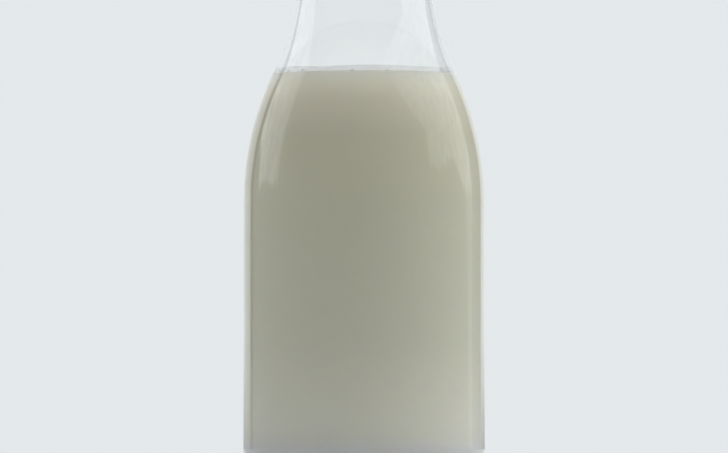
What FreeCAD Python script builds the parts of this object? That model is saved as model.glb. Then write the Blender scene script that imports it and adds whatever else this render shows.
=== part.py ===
"""Round glass milk bottle of one pint, filled with milk to the shoulder.

Two pieces: the bottle, one thick-walled glass body of revolution, and the milk,
a solid that fits the inside of the glass from its floor up to the fill level.
The origin is the middle of the resting plane under the foot ring. +Z is up.
"""

import FreeCAD, Part
import Sketcher
import math
import os

# Every driving size, in millimetres: the cell's name, its value and what it is.
SIZES = [
    ("body_radius", 39.25, "outside of the straight body"),
    ("body_top", 85.5, "height where the shoulder begins"),
    ("shoulder_radius", 97.5, "outward curve of the shoulder, outside"),
    ("sweep_radius", 72.0, "inward curve from the shoulder up to the neck, outside"),
    ("neck_radius", 21.6, "outside of the neck"),
    ("total_height", 184.0, "resting plane to the top of the lip"),
    ("rim_radius", 23.9, "outside of the rolled rim"),
    ("bead_radius", 3.2, "roundness of the rolled rim"),
    ("under_bead_radius", 2.2, "hollow between the neck and the rolled rim"),
    ("lip_round", 1.0, "round at the inner edge of the lip"),
    ("wall", 2.2, "thickness of the glass"),
    ("heel_radius", 4.2, "outside round at the foot of the body"),
    ("foot_width", 2.4, "flat ring that the bottle rests on"),
    ("foot_round", 4.0, "round between the flat ring and the hollow base"),
    ("push_up", 4.0, "height of the hollow under the middle of the base"),
    ("base_thickness", 3.6, "glass above the middle of the hollow"),
    ("inner_heel_radius", 3.0, "inside round at the foot of the body"),
    ("floor_radius", 120.0, "dome of the inside floor"),
    ("fill_level", 125.9, "resting plane to the surface of the milk"),
]

SIZE = {name: value for name, value, meaning in SIZES}
SHEET = "Sizes"

QUARTER = math.pi / 2
HALF = math.pi
FULL = 2 * math.pi
MILLILITRE = 1000.0

# Names of a sketch's own origin and axes in its constraints.
ORIGIN = (-1, 1)
FLAT_AXIS = -1
UPRIGHT_AXIS = -2
START = 1
END = 2
CENTRE = 3


def cells(formula):
    """A formula of cell names, such as "body_radius - wall", as an expression on the sheet."""
    words = [f"{SHEET}.{word}" if word in SIZE else word for word in formula.split()]
    return " ".join(words)


def worked_out(formula):
    """The number that a formula of cell names gives."""
    total = 0.0
    sign = 1.0
    for word in formula.split():
        if word in "+-":
            sign = 1.0 if word == "+" else -1.0
        else:
            total += sign * SIZE[word]
    return total


class Outline:
    """Half a section in a body's upright XZ plane: sketch X is the radius, sketch Y the height."""

    def __init__(self, doc, name):
        self.body = doc.addObject("PartDesign::Body", name)
        self.body.Label = name
        planes = self.body.Origin.OriginFeatures
        upright = next(plane for plane in planes if plane.Role == "XZ_Plane")
        self.sketch = self.body.newObject("Sketcher::SketchObject", name + "_section")
        self.sketch.AttachmentSupport = [(upright, "")]
        self.sketch.MapMode = "FlatFace"
        self.pieces = []

    def bind(self, formula, kind, *where):
        """Adds a constraint whose size is a formula of the sheet's cells."""
        constraint = Sketcher.Constraint(kind, *where, worked_out(formula))
        number = self.sketch.addConstraint(constraint)
        self.sketch.setExpression(f"Constraints[{number}]", cells(formula))

    def add(self, geometry, first, last, smooth):
        """Adds a piece and ties its first end to the last end of the piece before it."""
        index = self.sketch.addGeometry(geometry, False)
        if self.pieces:
            before, _, before_last = self.pieces[-1]
            kind = "Tangent" if smooth else "Coincident"
            tie = Sketcher.Constraint(kind, before, before_last, index, first)
            self.sketch.addConstraint(tie)
        self.pieces.append((index, first, last))
        return index

    def line(self, start, end, smooth=True):
        geometry = Part.LineSegment(FreeCAD.Vector(*start), FreeCAD.Vector(*end))
        return self.add(geometry, START, END, smooth)

    def arc(self, centre, radius, first_angle, last_angle, smooth=True):
        """An arc from one angle to the other, in either direction."""
        circle = Part.Circle(FreeCAD.Vector(*centre), FreeCAD.Vector(0, 0, 1), radius)
        low, high = sorted((first_angle, last_angle))
        ends = (START, END) if first_angle < last_angle else (END, START)
        return self.add(Part.ArcOfCircle(circle, low, high), *ends, smooth)

    def upright_line(self, radius, low, high, reach=None, up=True):
        """A line at the named radius. Where reach is a formula, it is the height of the high end."""
        across = worked_out(radius)
        heights = (low, high) if up else (high, low)
        index = self.line((across, heights[0]), (across, heights[1]))
        self.sketch.addConstraint(Sketcher.Constraint("Vertical", index))
        self.bind(radius, "DistanceX", *ORIGIN, index, START)
        if reach:
            self.bind(reach, "DistanceY", *ORIGIN, index, END if up else START)
        return index

    def rounded(self, radius, centre, first_angle, last_angle, smooth=True):
        """An arc whose radius is a formula, tangent to the piece before it where smooth."""
        index = self.arc(centre, worked_out(radius), first_angle, last_angle, smooth)
        self.bind(radius, "Radius", index)
        return index

    def on_axis(self, index, position):
        tie = Sketcher.Constraint("PointOnObject", index, position, UPRIGHT_AXIS)
        self.sketch.addConstraint(tie)

    def close(self):
        """Ties the last end to the first."""
        first_index, first_end, _ = self.pieces[0]
        last_index, _, last_end = self.pieces[-1]
        tie = Sketcher.Constraint("Coincident", last_index, last_end, first_index, first_end)
        self.sketch.addConstraint(tie)

    def revolve(self, name):
        turned = self.body.newObject("PartDesign::Revolution", name)
        turned.Profile = self.sketch
        turned.ReferenceAxis = (self.sketch, ["V_Axis"])
        turned.Angle = 360.0
        self.body.Tip = turned
        return self.body


def make_sheet(doc):
    sheet = doc.addObject("Spreadsheet::Sheet", SHEET)
    for row, (name, value, meaning) in enumerate(SIZES, start=1):
        sheet.set(f"A{row}", name)
        sheet.set(f"B{row}", str(value))
        sheet.set(f"C{row}", meaning)
        sheet.setAlias(f"B{row}", name)
    doc.recompute()


def shoulder_and_neck():
    """Height where the neck turns straight, and how far the shoulder leans inwards."""
    both = SIZE["shoulder_radius"] + SIZE["sweep_radius"]
    inwards = SIZE["body_radius"] - SIZE["neck_radius"]
    rise = math.sqrt(both**2 - (both - inwards) ** 2)
    return SIZE["body_top"] + rise, math.asin(rise / both)


def draw_base(outline):
    """The hollow under the base, the flat foot ring and the heel, from the axis outwards."""
    foot_outer = SIZE["body_radius"] - SIZE["heel_radius"]
    foot_inner = foot_outer - SIZE["foot_width"]
    top = SIZE["push_up"]
    small = SIZE["foot_round"]
    # A dome through (0, top) that just touches the round of the foot ring.
    dome_radius = (foot_inner**2 + top**2 - 2 * top * small) / (2 * top)
    dome_centre = (0, top - dome_radius)
    lean = math.atan2(dome_radius + small - top, foot_inner)
    dome = outline.arc(dome_centre, dome_radius, QUARTER, lean)
    outline.on_axis(dome, CENTRE)
    outline.on_axis(dome, END)
    outline.bind("push_up", "DistanceY", *ORIGIN, dome, END)
    outline.rounded("foot_round", (foot_inner, small), HALF + lean, HALF + QUARTER)
    foot = outline.line((foot_inner, 0), (foot_outer, 0))
    outline.sketch.addConstraint(Sketcher.Constraint("PointOnObject", foot, START, FLAT_AXIS))
    outline.sketch.addConstraint(Sketcher.Constraint("Horizontal", foot))
    outline.bind("foot_width", "DistanceX", foot, START, foot, END)
    heel_centre = (foot_outer, SIZE["heel_radius"])
    outline.rounded("heel_radius", heel_centre, HALF + QUARTER, FULL)


def draw_outside(outline):
    """The body, shoulder, neck and rolled rim, upwards to the top of the lip."""
    neck_start, lean = shoulder_and_neck()
    shoulder_centre = (SIZE["body_radius"] - SIZE["shoulder_radius"], SIZE["body_top"])
    sweep_centre = (SIZE["neck_radius"] + SIZE["sweep_radius"], neck_start)
    bead = SIZE["bead_radius"]
    hollow = SIZE["under_bead_radius"]
    bead_centre = (SIZE["rim_radius"] - bead, SIZE["total_height"] - bead)
    hollow_across = SIZE["neck_radius"] + hollow
    between = hollow_across - bead_centre[0]
    drop = math.sqrt((bead + hollow) ** 2 - between**2)
    hollow_centre = (hollow_across, bead_centre[1] - drop)
    under = math.atan2(drop, between)

    outline.upright_line("body_radius", SIZE["heel_radius"], SIZE["body_top"], "body_top")
    outline.rounded("shoulder_radius", shoulder_centre, 0, lean)
    outline.rounded("sweep_radius", sweep_centre, HALF + lean, HALF)
    outline.upright_line("neck_radius", neck_start, hollow_centre[1])
    outline.rounded("under_bead_radius", hollow_centre, HALF, HALF - under)
    rim = outline.rounded("bead_radius", bead_centre, -under, QUARTER)
    outline.bind("rim_radius - bead_radius", "DistanceX", *ORIGIN, rim, CENTRE)
    outline.bind("total_height", "DistanceY", *ORIGIN, rim, END)


def draw_mouth(outline):
    """The lip and the inside of the neck, downwards to where the shoulder begins."""
    neck_start, lean = shoulder_and_neck()
    top = SIZE["total_height"]
    small = SIZE["lip_round"]
    inner_neck = SIZE["neck_radius"] - SIZE["wall"]
    sweep_centre = (SIZE["neck_radius"] + SIZE["sweep_radius"], neck_start)
    lip = outline.line((SIZE["rim_radius"] - SIZE["bead_radius"], top), (inner_neck + small, top))
    outline.sketch.addConstraint(Sketcher.Constraint("Horizontal", lip))
    outline.rounded("lip_round", (inner_neck + small, top - small), QUARTER, HALF)
    outline.upright_line("neck_radius - wall", neck_start, top - small, up=False)
    outline.rounded("sweep_radius + wall", sweep_centre, HALF, HALF + lean)


def draw_inside(outline, lean, smooth):
    """The inside of the glass from the shoulder, where it leans so far, to the middle of the floor."""
    inner_body = SIZE["body_radius"] - SIZE["wall"]
    shoulder_centre = (SIZE["body_radius"] - SIZE["shoulder_radius"], SIZE["body_top"])
    floor = SIZE["push_up"] + SIZE["base_thickness"]
    dome = SIZE["floor_radius"]
    heel = SIZE["inner_heel_radius"]
    heel_across = inner_body - heel
    rise = math.sqrt((dome + heel) ** 2 - heel_across**2)
    heel_centre = (heel_across, floor - dome + rise)
    floor_lean = math.atan2(rise, heel_across)

    outline.rounded("shoulder_radius - wall", shoulder_centre, lean, 0, smooth)
    outline.upright_line("body_radius - wall", heel_centre[1], SIZE["body_top"], "body_top", up=False)
    outline.rounded("inner_heel_radius", heel_centre, FULL, HALF + floor_lean)
    middle = outline.rounded("floor_radius", (0, floor - dome), floor_lean, QUARTER)
    outline.on_axis(middle, CENTRE)
    outline.on_axis(middle, END)
    outline.bind("push_up + base_thickness", "DistanceY", *ORIGIN, middle, END)


def make_bottle(doc):
    """The glass: one closed wall section turned about the axis."""
    outline = Outline(doc, "bottle")
    _, lean = shoulder_and_neck()
    draw_base(outline)
    draw_outside(outline)
    draw_mouth(outline)
    draw_inside(outline, lean, smooth=True)
    floor = SIZE["push_up"] + SIZE["base_thickness"]
    outline.line((0, floor), (0, SIZE["push_up"]), smooth=False)
    outline.close()
    return outline.revolve("glass_wall")


def make_milk(doc):
    """The milk: the same inside form, closed by its level surface."""
    outline = Outline(doc, "milk")
    level = SIZE["fill_level"]
    inner_shoulder = SIZE["shoulder_radius"] - SIZE["wall"]
    lean = math.asin((level - SIZE["body_top"]) / inner_shoulder)
    across = SIZE["body_radius"] - SIZE["shoulder_radius"] + inner_shoulder * math.cos(lean)
    surface = outline.line((0, level), (across, level))
    outline.sketch.addConstraint(Sketcher.Constraint("Horizontal", surface))
    outline.on_axis(surface, START)
    outline.bind("fill_level", "DistanceY", *ORIGIN, surface, START)
    draw_inside(outline, lean, smooth=False)
    floor = SIZE["push_up"] + SIZE["base_thickness"]
    outline.line((0, floor), (0, level), smooth=False)
    outline.close()
    return outline.revolve("milk_fill")


def check(doc, sub_parts):
    """Stops where anything in the document failed or a sub-part is no closed solid."""
    for thing in doc.Objects:
        if "Invalid" in thing.State or "Error" in thing.State:
            raise RuntimeError(f"{thing.Name} failed: {thing.State}")
    for sub_part in sub_parts:
        shape = sub_part.Shape
        if shape.isNull() or not shape.isValid() or len(shape.Solids) != 1:
            raise RuntimeError(f"{sub_part.Label} is not one valid solid")


def main():
    doc = FreeCAD.newDocument("milk_bottle")
    make_sheet(doc)
    sub_parts = [make_bottle(doc), make_milk(doc)]
    doc.recompute()
    check(doc, sub_parts)
    os.makedirs("parts", exist_ok=True)
    for sub_part in sub_parts:
        sub_part.Shape.exportStep(f"parts/{sub_part.Label}.step")
        volume = sub_part.Shape.Volume / MILLILITRE
        box = sub_part.Shape.BoundBox
        print(f"{sub_part.Label}: {volume:.1f} ml, {box.XLength:.2f} x {box.ZLength:.2f} mm")


main()
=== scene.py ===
import bpy
import math
import random
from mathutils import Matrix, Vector, noise


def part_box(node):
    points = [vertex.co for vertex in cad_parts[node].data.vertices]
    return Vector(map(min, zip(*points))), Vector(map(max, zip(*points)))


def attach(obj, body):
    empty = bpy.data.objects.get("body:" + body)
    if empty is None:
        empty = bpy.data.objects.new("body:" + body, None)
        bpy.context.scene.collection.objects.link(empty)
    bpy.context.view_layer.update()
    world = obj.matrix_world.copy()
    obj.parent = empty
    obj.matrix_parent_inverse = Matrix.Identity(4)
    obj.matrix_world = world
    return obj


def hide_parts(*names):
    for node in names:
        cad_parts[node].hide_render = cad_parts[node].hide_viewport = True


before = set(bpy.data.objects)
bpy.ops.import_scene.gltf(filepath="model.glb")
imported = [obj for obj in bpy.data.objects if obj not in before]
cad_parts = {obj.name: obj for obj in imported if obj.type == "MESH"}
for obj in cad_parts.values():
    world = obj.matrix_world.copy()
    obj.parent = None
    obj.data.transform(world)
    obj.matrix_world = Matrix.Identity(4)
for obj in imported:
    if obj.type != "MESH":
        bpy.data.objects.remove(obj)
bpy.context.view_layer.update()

# A clear glass milk bottle, filled to the shoulder. All lengths are in metres.
MM = 0.001
SEED = 11

BOTTLE_LOW, BOTTLE_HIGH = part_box("bottle")
MILK_LOW, MILK_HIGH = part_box("milk")

# ---------------------------------------------------------------- the bottle's section

BODY_RADIUS = BOTTLE_HIGH.x
HEIGHT = BOTTLE_HIGH.z
WALL = BODY_RADIUS - MILK_HIGH.x
LEVEL = MILK_HIGH.z

BODY_TOP = 85.5 * MM
SHOULDER_RADIUS = 97.5 * MM
SWEEP_RADIUS = 72.0 * MM
NECK_RADIUS = 21.6 * MM
RIM_RADIUS = 23.9 * MM
BEAD_RADIUS = 3.2 * MM
UNDER_BEAD_RADIUS = 2.2 * MM
LIP_ROUND = 1.0 * MM
HEEL_RADIUS = 4.2 * MM
FOOT_WIDTH = 2.4 * MM
FOOT_ROUND = 4.0 * MM
PUSH_UP = 4.0 * MM
BASE_THICKNESS = 3.6 * MM
INNER_HEEL_RADIUS = 3.0 * MM
FLOOR_RADIUS = 120.0 * MM

QUARTER = math.pi / 2
HALF = math.pi
FULL = 2 * math.pi

AROUND = 288  # points round a lathed piece
ON_AXIS = 1e-7  # a radius below this is a point on the axis
TIP = 0.1 * MM  # length of the short end pieces of a straight run


def arc(centre, radius, first, last, steps):
    """Points of an arc, its first end left out so that arcs chain."""
    return [
        (
            centre[0] + radius * math.cos(first + (last - first) * i / steps),
            centre[1] + radius * math.sin(first + (last - first) * i / steps),
        )
        for i in range(1, steps + 1)
    ]


def run(start, end, steps):
    """Points of a straight run, its first end left out. The end pieces are short, which keeps
    smooth shading straight up to the curves on both sides."""
    tip = min(TIP / math.dist(start, end), 0.25)
    shares = [tip]
    shares += [tip + (1 - 2 * tip) * i / steps for i in range(1, steps + 1)]
    shares.append(1.0)
    return [
        (start[0] + (end[0] - start[0]) * share, start[1] + (end[1] - start[1]) * share)
        for share in shares
    ]


def neck_start():
    """Height where the neck turns straight, and how far the shoulder leans inwards."""
    both = SHOULDER_RADIUS + SWEEP_RADIUS
    inwards = BODY_RADIUS - NECK_RADIUS
    rise = math.sqrt(both**2 - (both - inwards) ** 2)
    return BODY_TOP + rise, math.asin(rise / both)


NECK_Z, LEAN = neck_start()
SHOULDER_CENTRE = (BODY_RADIUS - SHOULDER_RADIUS, BODY_TOP)
SWEEP_CENTRE = (NECK_RADIUS + SWEEP_RADIUS, NECK_Z)


def outer_section():
    """From the middle of the base outwards and up to the top of the lip."""
    foot_outer = BODY_RADIUS - HEEL_RADIUS
    foot_inner = foot_outer - FOOT_WIDTH
    dome = (foot_inner**2 + PUSH_UP**2 - 2 * PUSH_UP * FOOT_ROUND) / (2 * PUSH_UP)
    lean = math.atan2(dome + FOOT_ROUND - PUSH_UP, foot_inner)
    bead_centre = (RIM_RADIUS - BEAD_RADIUS, HEIGHT - BEAD_RADIUS)
    hollow_across = NECK_RADIUS + UNDER_BEAD_RADIUS
    between = hollow_across - bead_centre[0]
    drop = math.sqrt((BEAD_RADIUS + UNDER_BEAD_RADIUS) ** 2 - between**2)
    hollow_centre = (hollow_across, bead_centre[1] - drop)
    under = math.atan2(drop, between)
    points = [(0.0, PUSH_UP)]
    points += arc((0, PUSH_UP - dome), dome, QUARTER, lean, 14)
    points += arc((foot_inner, FOOT_ROUND), FOOT_ROUND, HALF + lean, HALF + QUARTER, 3)
    points += run((foot_inner, 0), (foot_outer, 0), 2)
    points += arc((foot_outer, HEEL_RADIUS), HEEL_RADIUS, -QUARTER, 0, 14)
    points += run((BODY_RADIUS, HEEL_RADIUS), (BODY_RADIUS, BODY_TOP), 30)
    points += arc(SHOULDER_CENTRE, SHOULDER_RADIUS, 0, LEAN, 40)
    points += arc(SWEEP_CENTRE, SWEEP_RADIUS, HALF + LEAN, HALF, 34)
    points += run((NECK_RADIUS, NECK_Z), (NECK_RADIUS, hollow_centre[1]), 8)
    points += arc(hollow_centre, UNDER_BEAD_RADIUS, HALF, HALF - under, 7)
    points += arc(bead_centre, BEAD_RADIUS, -under, QUARTER, 16)
    return points


def inner_section():
    """From the lip down the inside to the middle of the floor."""
    inner_neck = NECK_RADIUS - WALL
    inner_body = BODY_RADIUS - WALL
    floor = PUSH_UP + BASE_THICKNESS
    heel_across = inner_body - INNER_HEEL_RADIUS
    rise = math.sqrt((FLOOR_RADIUS + INNER_HEEL_RADIUS) ** 2 - heel_across**2)
    heel_z = floor - FLOOR_RADIUS + rise
    floor_lean = math.atan2(rise, heel_across)
    points = run((RIM_RADIUS - BEAD_RADIUS, HEIGHT), (inner_neck + LIP_ROUND, HEIGHT), 1)
    points += arc((inner_neck + LIP_ROUND, HEIGHT - LIP_ROUND), LIP_ROUND, QUARTER, HALF, 6)
    points += run((inner_neck, HEIGHT - LIP_ROUND), (inner_neck, NECK_Z), 12)
    points += arc(SWEEP_CENTRE, SWEEP_RADIUS + WALL, HALF, HALF + LEAN, 34)
    points += arc(SHOULDER_CENTRE, SHOULDER_RADIUS - WALL, LEAN, 0, 40)
    points += run((inner_body, BODY_TOP), (inner_body, heel_z), 30)
    points += arc((heel_across, heel_z), INNER_HEEL_RADIUS, 2 * HALF, HALF + floor_lean, 14)
    points += arc((0, floor - FLOOR_RADIUS), FLOOR_RADIUS, floor_lean, QUARTER, 12)
    return points


def inner_radius(z):
    """Inside radius of the glass at a height in the body, the shoulder or the sweep."""
    if z <= BODY_TOP:
        return BODY_RADIUS - WALL
    inner_shoulder = SHOULDER_RADIUS - WALL
    if z <= BODY_TOP + inner_shoulder * math.sin(LEAN):
        return SHOULDER_CENTRE[0] + math.sqrt(inner_shoulder**2 - (z - BODY_TOP) ** 2)
    if z < NECK_Z:
        return SWEEP_CENTRE[0] - math.sqrt((SWEEP_RADIUS + WALL) ** 2 - (NECK_Z - z) ** 2)
    return NECK_RADIUS - WALL


def lathe(name, section, shift=None, close=False):
    """Turns a section about Z. Points on the axis become one vertex; shift moves the others."""
    points = []
    faces = []
    rings = []
    for index, (radius, z) in enumerate(section):
        if radius < ON_AXIS:
            rings.append([len(points)])
            points.append(Vector((0, 0, z)))
            continue
        ring = []
        for step in range(AROUND):
            angle = FULL * step / AROUND
            place = Vector((radius * math.cos(angle), radius * math.sin(angle), z))
            if shift:
                place += shift(index, angle, radius, z)
            ring.append(len(points))
            points.append(place)
        rings.append(ring)
    pairs = list(zip(rings, rings[1:]))
    if close:
        pairs.append((rings[-1], rings[0]))
    for low, high in pairs:
        for step in range(AROUND):
            after = (step + 1) % AROUND
            if len(low) == 1:
                faces.append((low[0], high[after], high[step]))
            elif len(high) == 1:
                faces.append((low[step], low[after], high[0]))
            else:
                faces.append((low[step], low[after], high[after], high[step]))
    mesh = bpy.data.meshes.new(name)
    mesh.from_pydata(points, [], faces)
    mesh.validate()
    mesh.polygons.foreach_set("use_smooth", [True] * len(mesh.polygons))
    piece = bpy.data.objects.new(name, mesh)
    bpy.context.scene.collection.objects.link(piece)
    return piece


# ---------------------------------------------------------------- materials


def new_material(name):
    """An empty node material, its nodes and links, and its output."""
    material = bpy.data.materials.new(name)
    material.use_nodes = True
    nodes = material.node_tree.nodes
    nodes.clear()
    output = nodes.new("ShaderNodeOutputMaterial")
    return material, nodes, material.node_tree.links, output


GLASS_COLOUR = (0.988, 0.993, 0.991, 1)
GLASS_IOR = 1.52


def glass_material():
    """Clear container glass."""
    material, nodes, links, output = new_material("clear_glass")
    shader = nodes.new("ShaderNodeBsdfPrincipled")
    shader.inputs["Base Color"].default_value = GLASS_COLOUR
    shader.inputs["Roughness"].default_value = 0.0
    shader.inputs["IOR"].default_value = GLASS_IOR
    shader.inputs["Transmission Weight"].default_value = 1.0
    links.new(shader.outputs["BSDF"], output.inputs["Surface"])
    return material


# The milk's colour at heights in millimetres, with painted light: it is painted lighter near its
# foot, standing in for light coming up through the glass base, and near its surface, standing in
# for light coming in from above and through the milk.
MILK_COLOURS_WITH_PAINTED_LIGHT = [
    (3, (0.99, 0.985, 0.93)),
    (9, (0.905, 0.90, 0.80)),
    (40, (0.79, 0.79, 0.67)),
    (70, (0.768, 0.765, 0.635)),
    (106, (0.768, 0.75, 0.61)),
    (117, (0.85, 0.825, 0.69)),
    (122, (0.95, 0.92, 0.78)),
    (125.9, (0.995, 0.965, 0.82)),
]
MILK_IOR = 1.35
MILK_SPREAD = (1.0, 0.9, 0.7)  # how far red, green and blue spread inside, against MILK_DEPTH
MILK_DEPTH = 8 * MM


def milk_material(name, specular):
    """Creamy milk coloured by height from MILK_COLOURS_WITH_PAINTED_LIGHT, with painted light at
    its foot and top; specular is how much gloss its surface has.
    """
    material, nodes, links, output = new_material(name)
    shader = nodes.new("ShaderNodeBsdfPrincipled")
    place = nodes.new("ShaderNodeTexCoord")
    split = nodes.new("ShaderNodeSeparateXYZ")
    height = nodes.new("ShaderNodeMapRange")
    height.inputs["From Min"].default_value = 0.0
    height.inputs["From Max"].default_value = LEVEL
    # painted light: this ramp makes the milk lighter at its foot and near its surface
    ramp = nodes.new("ShaderNodeValToRGB")
    stops = ramp.color_ramp.elements
    for number, (millimetres, colour) in enumerate(MILK_COLOURS_WITH_PAINTED_LIGHT):
        position = min(1.0, millimetres * MM / LEVEL)
        stop = stops[number] if number < 2 else stops.new(position)
        stop.position = position
        stop.color = (*colour, 1)
    links.new(place.outputs["Object"], split.inputs[0])
    links.new(split.outputs["Z"], height.inputs["Value"])
    links.new(height.outputs["Result"], ramp.inputs["Fac"])
    links.new(ramp.outputs["Color"], shader.inputs["Base Color"])
    shader.inputs["Roughness"].default_value = 0.2
    shader.inputs["IOR"].default_value = MILK_IOR
    shader.inputs["Specular IOR Level"].default_value = specular
    shader.inputs["Subsurface Weight"].default_value = 0.85
    shader.inputs["Subsurface Radius"].default_value = MILK_SPREAD
    shader.inputs["Subsurface Scale"].default_value = MILK_DEPTH
    links.new(shader.outputs["BSDF"], output.inputs["Surface"])
    return material


# ---------------------------------------------------------------- pieces


UNEVEN_INSIDE = 0.16 * MM  # most that the inside is pushed outwards
UNEVEN_OUTSIDE = 0.035 * MM  # most that the outside is pushed inwards
UNEVEN_FADE = 12 * MM  # height over which it starts and stops
UNEVEN_SCALE = 60.0  # waves to a metre round the bottle
UNEVEN_STRETCH = 0.35  # how much longer the waves are along its height


def uneven_glass(inside, angle, radius, z):
    """Slow unevenness of moulded glass: outside inwards, and inside outwards above the milk."""
    start = LEVEL + 2 * MM if inside else 8 * MM
    starting = min(1.0, max(0.0, (z - start) / UNEVEN_FADE))
    stopping = min(1.0, max(0.0, (HEIGHT - UNEVEN_FADE - z) / UNEVEN_FADE))
    direction = Vector((math.cos(angle), math.sin(angle), 0))
    sample = direction * radius * UNEVEN_SCALE
    sample.z = z * UNEVEN_SCALE * UNEVEN_STRETCH + (7.0 if inside else 0.0)
    most = UNEVEN_INSIDE if inside else -UNEVEN_OUTSIDE
    return direction * ((0.5 + 0.5 * noise.noise(sample)) * most * starting * stopping)


def make_bottle():
    """The glass, one closed body from the base up to the lip and down the inside."""
    outer = outer_section()

    def shift(index, angle, radius, z):
        return uneven_glass(index >= len(outer), angle, radius, z)

    piece = lathe("bottle_glass", outer + inner_section(), shift)
    piece.data.materials.append(glass_material())
    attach(piece, "root")
    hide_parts("bottle")


MILK_IN_WALL = 0.12 * MM  # how far the milk reaches into the glass
MILK_EDGE = 0.4 * MM  # how far the milk's edge climbs the glass
MILK_EDGE_REACH = 3.2 * MM  # how far from the glass its surface starts to climb
MILK_EDGE_CURVE = 3.2  # how sharply it climbs
FILM_HEIGHT = 2.0 * MM  # top of the wet film above the level


def milk_section():
    """From the middle of the floor, up the side and over the surface, which climbs the glass."""
    side = [point for point in reversed(inner_section()) if point[1] < LEVEL - 0.5 * MM]
    section = []
    for radius, z in side:
        grown = radius + MILK_IN_WALL if radius > ON_AXIS else 0.0
        section.append((grown, z - (MILK_IN_WALL if z < 12 * MM else 0)))
    for i in range(7):
        z = LEVEL + MILK_EDGE * i / 6
        section.append((inner_radius(z) + MILK_IN_WALL, z))
    top = LEVEL + MILK_EDGE
    edge = inner_radius(top) - 0.15 * MM
    section.append((edge, top))
    for i in range(1, 13):
        climb = math.exp(-MILK_EDGE_CURVE * i / 12)
        section.append((edge - MILK_EDGE_REACH * i / 12, LEVEL + MILK_EDGE * climb))
    last = section[-1]
    fall = last[1] - LEVEL
    for i in range(1, 9):
        across = last[0] * (1 - i / 8)
        section.append((across if i < 8 else 0.0, LEVEL + fall * (1 - i / 8) ** 3))
    return section


def make_milk():
    """The milk, with a glossier material on its surface than on its side."""
    piece = lathe("milk_fill", milk_section())
    piece.data.materials.append(milk_material("milk_side", 0.0))
    piece.data.materials.append(milk_material("milk_top", 0.3))
    for face in piece.data.polygons:
        if face.normal.z > 0.3 and face.center.z > LEVEL - 0.2 * MM:
            face.material_index = 1
    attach(piece, "root")
    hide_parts("milk")


FILM_COLOUR = (0.97, 0.965, 0.94, 1)
FILM_ALPHA = 0.25


def film_material():
    """A wet film of milk, thin enough to see through."""
    material, nodes, links, output = new_material("milk_film")
    shader = nodes.new("ShaderNodeBsdfPrincipled")
    shader.inputs["Base Color"].default_value = FILM_COLOUR
    shader.inputs["Roughness"].default_value = 0.3
    shader.inputs["Specular IOR Level"].default_value = 0.0
    shader.inputs["Alpha"].default_value = FILM_ALPHA
    links.new(shader.outputs["BSDF"], output.inputs["Surface"])
    return material


def make_film():
    """The ring of milk that clings to the glass just above the surface; its top edge wanders."""
    bottom = LEVEL - 0.2 * MM
    top = LEVEL + FILM_HEIGHT
    steps = 10
    heights = [bottom + (top - bottom) * i / steps for i in range(steps + 1)]
    outside = [(inner_radius(z) + 0.03 * MM, z) for z in heights]
    inside = []
    for i, z in enumerate(heights):
        thickness = (0.40 - 0.34 * i / steps) * MM
        inside.append((inner_radius(z) - thickness, z))

    def wander(index, angle, radius, z):
        share = (z - bottom) / (top - bottom)
        direction = Vector((math.cos(angle), math.sin(angle), 0))
        wave = noise.noise(direction * 2.5 + Vector((0, 0, SEED)))
        return Vector((0, 0, 0.35 * MM * share * wave))

    piece = lathe("milk_film", outside + inside[::-1], wander, close=True)
    piece.data.materials.append(film_material())
    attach(piece, "root")


BUBBLE_COLOUR = (0.97, 0.97, 0.96, 1)
BUBBLE_ALPHA = 0.3
BUBBLE_SIZES = (0.45 * MM, 0.8 * MM)
FRONT_BUBBLES = (-97.6, -134.7)  # degrees round the axis, where the photograph shows two
OTHER_BUBBLES = 12


def bubble_material():
    """Thin milky skin, thin enough to see through."""
    material, nodes, links, output = new_material("milk_bubble")
    shader = nodes.new("ShaderNodeBsdfPrincipled")
    shader.inputs["Base Color"].default_value = BUBBLE_COLOUR
    shader.inputs["Roughness"].default_value = 0.08
    shader.inputs["Alpha"].default_value = BUBBLE_ALPHA
    links.new(shader.outputs["BSDF"], output.inputs["Surface"])
    return material


def make_bubbles():
    """Small round bubbles along the edge of the milk, beside the glass."""
    draw = random.Random(SEED)
    points = []
    faces = []
    around = 20
    rings = 7
    places = [math.radians(angle) for angle in FRONT_BUBBLES]
    places += [draw.uniform(0, FULL) for _ in range(OTHER_BUBBLES)]
    for angle in places:
        size = draw.uniform(*BUBBLE_SIZES)
        height = LEVEL + 0.8 * size
        across = inner_radius(height) - size * 0.9
        centre = Vector((across * math.cos(angle), across * math.sin(angle), height))
        first = len(points)
        points.append(centre + Vector((0, 0, size)))
        for ring in range(1, rings):
            lean = HALF * ring / rings
            wide = size * math.sin(lean)
            rise = size * math.cos(lean)
            for step in range(around):
                turn = FULL * step / around
                offset = Vector((wide * math.cos(turn), wide * math.sin(turn), rise))
                points.append(centre + offset)
        points.append(centre - Vector((0, 0, size)))
        for step in range(around):
            after = (step + 1) % around
            faces.append((first, first + 1 + step, first + 1 + after))
            for ring in range(rings - 2):
                low = first + 1 + ring * around
                faces.append((low + step, low + around + step, low + around + after, low + after))
            low = first + 1 + (rings - 2) * around
            faces.append((low + step, len(points) - 1, low + after))
    mesh = bpy.data.meshes.new("milk_bubbles")
    mesh.from_pydata(points, [], faces)
    mesh.polygons.foreach_set("use_smooth", [True] * len(mesh.polygons))
    mesh.materials.append(bubble_material())
    piece = bpy.data.objects.new("milk_bubbles", mesh)
    bpy.context.scene.collection.objects.link(piece)
    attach(piece, "root")


# ---------------------------------------------------------------- studio

BACKGROUND = (0.775, 0.81, 0.83)
FLOOR_COLOUR = (0.86, 0.875, 0.885, 1)
STUDIO_FLOOR_RADIUS = 14.0
FRONT_TINT = (1.0, 0.98, 0.94, 1)  # of the light from front and back
SIDE_TINT = (0.98, 1.0, 1.04, 1)


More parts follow.
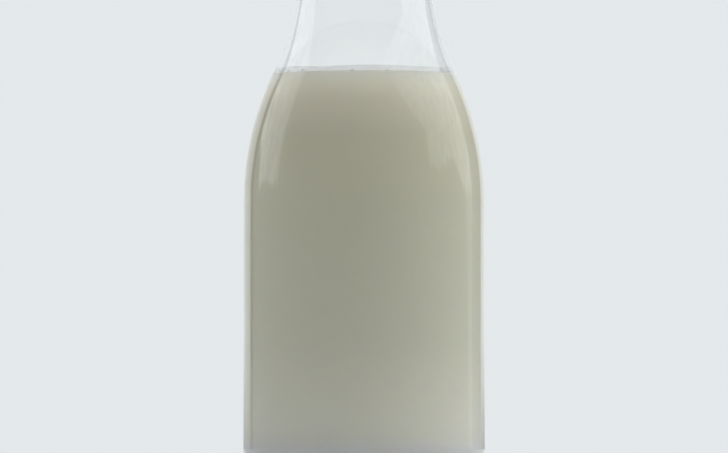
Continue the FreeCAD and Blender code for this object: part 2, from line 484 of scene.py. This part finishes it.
class Sums:
    """Short forms for the arithmetic nodes of one node tree."""

    def __init__(self, tree):
        self.nodes = tree.nodes
        self.links = tree.links

    def put(self, value, socket):
        if isinstance(value, (int, float)):
            socket.default_value = value
        else:
            self.links.new(value, socket)

    def sum(self, operation, first, second=0.0, clamp=False, third=0.0):
        node = self.nodes.new("ShaderNodeMath")
        node.operation = operation
        node.use_clamp = clamp
        self.put(first, node.inputs[0])
        self.put(second, node.inputs[1])
        self.put(third, node.inputs[2])
        return node.outputs[0]

    def ease(self, value, low, high, start=0.0, end=1.0):
        """Goes smoothly from start to end while value goes from low to high."""
        node = self.nodes.new("ShaderNodeMapRange")
        node.interpolation_type = "SMOOTHSTEP"
        self.put(value, node.inputs["Value"])
        self.put(low, node.inputs["From Min"])
        self.put(high, node.inputs["From Max"])
        self.put(start, node.inputs["To Min"])
        self.put(end, node.inputs["To Max"])
        return node.outputs["Result"]

    def window(self, value, low, high, soft):
        """1 from low to high and 0 outside, with soft edges."""
        edges = [self.sum("ADD", low, -soft), self.sum("ADD", low, soft)]
        start = self.ease(value, *edges)
        edges = [self.sum("ADD", high, -soft), self.sum("ADD", high, soft)]
        return self.sum("MULTIPLY", start, self.ease(value, *edges, 1.0, 0.0))

    def noise(self, place, scale, detail):
        node = self.nodes.new("ShaderNodeTexNoise")
        node.inputs["Scale"].default_value = scale
        node.inputs["Detail"].default_value = detail
        self.links.new(place, node.inputs["Vector"])
        return node.outputs["Fac"]

    def between(self, first, second, share):
        """first where share is 0 and second where it is 1."""
        node = self.nodes.new("ShaderNodeMix")
        node.data_type = "FLOAT"
        self.put(share, node.inputs[0])
        self.put(first, node.inputs[2])
        self.put(second, node.inputs[3])
        return node.outputs[0]


def sees_background(sums):
    """1 for what the camera, gloss and glass see, and 0 for light that falls on a surface."""
    path = sums.nodes.new("ShaderNodeLightPath")
    kinds = path.outputs
    seen = sums.sum("ADD", kinds["Is Camera Ray"], kinds["Is Transmission Ray"], clamp=True)
    seen = sums.sum("ADD", seen, kinds["Is Glossy Ray"], clamp=True)
    return sums.sum("SUBTRACT", seen, kinds["Diffuse Depth"], clamp=True)


def soft_light(sums, across, along, up):
    """The light on every surface: from above, from behind and, most of all, from both sides."""
    level = sums.sum("MULTIPLY_ADD", along, 0.45, third=0.25)
    level = sums.sum("MAXIMUM", sums.sum("MULTIPLY_ADD", up, 0.30, third=level), 0.08)
    over_front = sums.sum("MULTIPLY_ADD", up, 0.77, third=sums.sum("MULTIPLY", along, -0.64))
    level = sums.sum("ADD", level, sums.ease(over_front, 0.45, 1.0, 0.0, 0.15))
    level = sums.sum("ADD", level, sums.ease(across, 0.2, 1.0, 0.0, 2.3))
    return sums.sum("ADD", level, sums.ease(across, -0.4, -1.0, 0.0, 1.4))


# The reflected room, in degrees from straight behind the bottle; plus is to the right.
SKY_LEFT = -88
SKY_LEFT_INNER = (-58, -48)  # low down and high up
DARK_LINE = (-47, -40)
SKYLINE = (-40, 30)
DIM_STRIP_LEFT = 30
SKY_RIGHT = (53, 112)

SKYLINE_LEFT_LEVEL = 0.62
SKYLINE_RIGHT_LEVEL = 0.38
OVER_SKYLINE_LEVEL = 1.15
DIM_STRIP_LEVEL = 0.30


def reflected_room(sums, across, along, up, place):
    """What gloss shows: an even backdrop in front, a bright patch of sky on each side and a
    dim skyline behind. It is used for reflections only."""
    turn = sums.sum("MULTIPLY", sums.sum("ARCTAN2", across, along), math.degrees(1))
    ragged = sums.sum("MULTIPLY_ADD", sums.noise(place, 6.0, 3.0), 0.14, third=-0.07)
    lift = sums.sum("ADD", up, ragged)
    streak = sums.sum("MULTIPLY_ADD", sums.noise(place, 14.0, 1.0), 2.6, third=0.45)
    streak = sums.sum("MULTIPLY", streak, sums.ease(up, 0.0, 0.14, 0.55, 1.0))

    # the backdrop in front, brighter overhead
    level = sums.ease(sums.sum("ABSOLUTE", turn), 100, 135, 0.40, 0.45)
    level = sums.between(level, 0.95, sums.ease(up, 0.5, 0.8))
    level = sums.sum("ADD", level, sums.ease(up, 0.66, 0.80, 0.0, 0.5))

    # the left patch of sky, which reaches further back high up
    inner = sums.ease(up, 0.12, 0.25, *SKY_LEFT_INNER)
    left = sums.window(turn, SKY_LEFT, inner, 2)
    left = sums.sum("MULTIPLY", left, sums.ease(lift, 0.07, 0.12))
    level = sums.between(level, streak, left)

    # the right patch, which reaches further forward high up and starts higher there
    above = sums.sum("MAXIMUM", sums.sum("SUBTRACT", up, 0.42), 0.0)
    slant = sums.sum("MULTIPLY_ADD", above, 90, third=SKY_RIGHT[1])
    foot = sums.ease(turn, 50, 84, -0.05, 0.19)
    over = sums.ease(sums.sum("SUBTRACT", lift, foot), -0.02, 0.03)
    right = sums.sum("MULTIPLY", sums.window(turn, SKY_RIGHT[0], slant, 2), over)
    level = sums.between(level, streak, right)

    # the skyline, with a dark line to its left and a dim strip to its right
    level = sums.between(level, 0.0, sums.window(turn, *DARK_LINE, 1))
    side = sums.sum("MULTIPLY_ADD", up, -30, third=SKY_RIGHT[0])
    strip = sums.window(turn, DIM_STRIP_LEFT, side, 1.5)
    level = sums.between(level, DIM_STRIP_LEVEL, strip)
    low = sums.ease(turn, -30, 20, SKYLINE_LEFT_LEVEL, SKYLINE_RIGHT_LEVEL)
    skyline = sums.ease(up, -0.002, 0.020, low, OVER_SKYLINE_LEVEL)
    return sums.between(level, skyline, sums.window(turn, *SKYLINE, 1.5))


def make_world():
    """Soft light for surfaces, and a plain background and reflected room for what is seen."""
    world = bpy.data.worlds.new("studio")
    bpy.context.scene.world = world
    world.use_nodes = True
    world.cycles.sampling_method = "NONE"
    sums = Sums(world.node_tree)
    nodes = sums.nodes
    links = sums.links
    nodes.clear()
    place = nodes.new("ShaderNodeTexCoord")
    split = nodes.new("ShaderNodeSeparateXYZ")
    links.new(place.outputs["Generated"], split.inputs[0])
    across, along, up = split.outputs

    lit = nodes.new("ShaderNodeBackground")
    tint = nodes.new("ShaderNodeValToRGB")
    tint.color_ramp.elements[0].color = FRONT_TINT
    tint.color_ramp.elements[1].color = SIDE_TINT
    links.new(sums.ease(sums.sum("ABSOLUTE", across), 0.2, 0.9), tint.inputs["Fac"])
    links.new(tint.outputs["Color"], lit.inputs["Color"])
    sums.put(soft_light(sums, across, along, up), lit.inputs["Strength"])
    path = nodes.new("ShaderNodeLightPath")
    kinds = path.outputs
    # A ray bent by glass counts as glossy too, so those are taken out again.
    gloss = sums.sum("SUBTRACT", kinds["Is Glossy Ray"], kinds["Is Transmission Ray"], clamp=True)
    shown = nodes.new("ShaderNodeBackground")
    shown.inputs["Color"].default_value = (*BACKGROUND, 1)
    room = reflected_room(sums, across, along, up, place.outputs["Generated"])
    sums.put(sums.between(1.0, room, gloss), shown.inputs["Strength"])
    mix = nodes.new("ShaderNodeMixShader")
    output = nodes.new("ShaderNodeOutputWorld")
    links.new(sees_background(sums), mix.inputs["Fac"])
    links.new(lit.outputs[0], mix.inputs[1])
    links.new(shown.outputs[0], mix.inputs[2])
    links.new(mix.outputs[0], output.inputs["Surface"])


LAMP_PLACE = (0.3, 0.3, 1.4)
LAMP_WIDTH = 1.2
LAMP_POWER = 0.5


def make_lamp():
    """A faint square lamp overhead, turned towards the middle of the bottle."""
    light = bpy.data.lights.new("overhead", "AREA")
    light.shape = "RECTANGLE"
    light.size = LAMP_WIDTH
    light.size_y = LAMP_WIDTH
    light.energy = LAMP_POWER
    lamp = bpy.data.objects.new("overhead", light)
    lamp.location = LAMP_PLACE
    lamp.rotation_mode = "QUATERNION"
    towards = Vector((0, 0, HEIGHT / 2)) - Vector(LAMP_PLACE)
    lamp.rotation_quaternion = towards.to_track_quat("-Z", "Y")
    lamp.visible_camera = False
    bpy.context.scene.collection.objects.link(lamp)


def make_floor():
    """A pale disc that glows like the background far away, so that no horizon shows."""
    mesh = bpy.data.meshes.new("floor")
    steps = 96
    points = [(0, 0, 0)]
    for i in range(steps):
        angle = FULL * i / steps
        across = STUDIO_FLOOR_RADIUS * math.cos(angle)
        points.append((across, STUDIO_FLOOR_RADIUS * math.sin(angle), 0))
    faces = [(0, 1 + i, 1 + (i + 1) % steps) for i in range(steps)]
    mesh.from_pydata(points, [], faces)
    floor = bpy.data.objects.new("floor", mesh)
    bpy.context.scene.collection.objects.link(floor)
    material, nodes, links, output = new_material("pale_floor")
    sums = Sums(material.node_tree)
    diffuse = nodes.new("ShaderNodeBsdfDiffuse")
    diffuse.inputs["Color"].default_value = FLOOR_COLOUR
    glow = nodes.new("ShaderNodeEmission")
    glow.inputs["Color"].default_value = (*BACKGROUND, 1)
    place = nodes.new("ShaderNodeTexCoord")
    length = nodes.new("ShaderNodeVectorMath")
    length.operation = "LENGTH"
    mix = nodes.new("ShaderNodeMixShader")
    links.new(place.outputs["Object"], length.inputs[0])
    far = sums.ease(length.outputs["Value"], 0.35, 2.0)
    links.new(sums.sum("MULTIPLY", far, sees_background(sums)), mix.inputs["Fac"])
    links.new(diffuse.outputs[0], mix.inputs[1])
    links.new(glow.outputs[0], mix.inputs[2])
    links.new(mix.outputs[0], output.inputs["Surface"])
    mesh.materials.append(material)


CAMERA_DISTANCE = 2.0
CAMERA_HEIGHT = 5.5 * MM
CAMERA_LENS = 303.6
CAMERA_TILT = math.radians(2.058)


def make_camera():
    """A long lens almost level with the table, tilted up a little as in the photograph."""
    data = bpy.data.cameras.new("camera")
    data.lens = CAMERA_LENS
    data.sensor_width = 36.0
    data.clip_start = 0.1
    data.clip_end = 100.0
    camera = bpy.data.objects.new("camera", data)
    camera.location = (0, -CAMERA_DISTANCE, CAMERA_HEIGHT)
    camera.rotation_euler = (QUARTER + CAMERA_TILT, 0, 0)
    bpy.context.scene.collection.objects.link(camera)
    bpy.context.scene.camera = camera


make_camera()
make_bottle()
make_milk()
make_film()
make_bubbles()
make_world()
make_lamp()
make_floor()

bpy.context.scene.view_settings.view_transform = "Standard"
